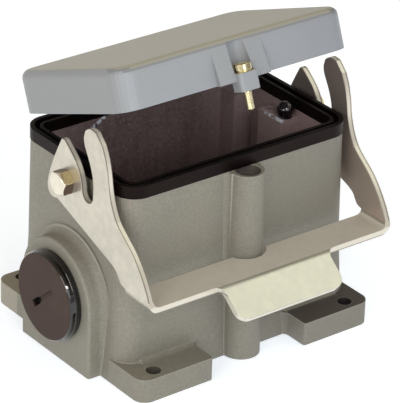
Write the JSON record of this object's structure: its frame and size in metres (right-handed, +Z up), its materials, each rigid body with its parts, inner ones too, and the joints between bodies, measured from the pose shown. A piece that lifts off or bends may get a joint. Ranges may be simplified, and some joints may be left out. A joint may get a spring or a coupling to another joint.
{
  "type": "heavy duty rectangular connector housing",
  "caption": "Die-cast surface-mounting housing for a heavy duty rectangular connector, with side cable entry plug, locking lever and hinged screw-down cover.",
  "frame": {"origin": "centre of the four-hole mounting pattern on the mounting face", "axes": "+X along the housing away from the cable entry, +Y towards the cover hinge, +Z up out of the mounting face"},
  "size_m": [0.1597, 0.1455, 0.1577],
  "materials": {
    "housing_paint": "olive-grey powder coat on die-cast aluminium, fine cast texture",
    "seal_rubber": "soft black rubber, slightly glossy",
    "plug_plastic": "dark brown moulded plastic",
    "ring_rubber": "black rubber",
    "black_steel": "glossy black",
    "bolt_steel": "zinc-plated, warm passivated",
    "washer_steel": "zinc-plated",
    "lever_steel": "satin zinc-plated sheet, cream passivated",
    "pin_steel": "bright drawn steel",
    "clip_steel": "spring steel",
    "cover_paint": "blue-grey powder coat on die-cast aluminium",
    "washer_brass": "brass",
    "screw_brass": "turned brass"
  },
  "bodies": {
    "housing": {"housing": "housing_paint", "rim_gasket": "seal_rubber", "entry_plug": "plug_plastic", "plug_ring": "ring_rubber", "insert_screw": "black_steel", "pivot_bolts": "bolt_steel", "pivot_washers": "washer_steel", "hinge_pin": "pin_steel", "pin_clips": "clip_steel"},
    "lever": {"lever": "lever_steel"},
    "cover": {"cover": "cover_paint"},
    "screw_float": {"screw_washer": "washer_brass"},
    "cover_screw": {"cover_screw": "screw_brass"}
  },
  "joints": [
    {"name": "lever_turn", "type": "hinge", "parent": "housing", "child": "lever", "pos_m": [0, -0.0033, 0.093], "axis": [-1, 0, 0], "range_deg": [0, 75]},
    {"name": "cover_hinge", "type": "hinge", "parent": "housing", "child": "cover", "pos_m": [0, 0.0545, 0.11], "axis": [-1, 0, 0], "range_deg": [-21.7, 80]},
    {"name": "screw_lift", "type": "slide", "parent": "cover", "child": "screw_float", "axis": [0, 0.3697, 0.9291], "range_m": [0, 0.008]},
    {"name": "screw_turn", "type": "hinge", "parent": "screw_float", "child": "cover_screw", "pos_m": [0, -0.04172, 0.14097], "axis": [0, 0.3697, 0.9291], "continuous": true}
  ]
}
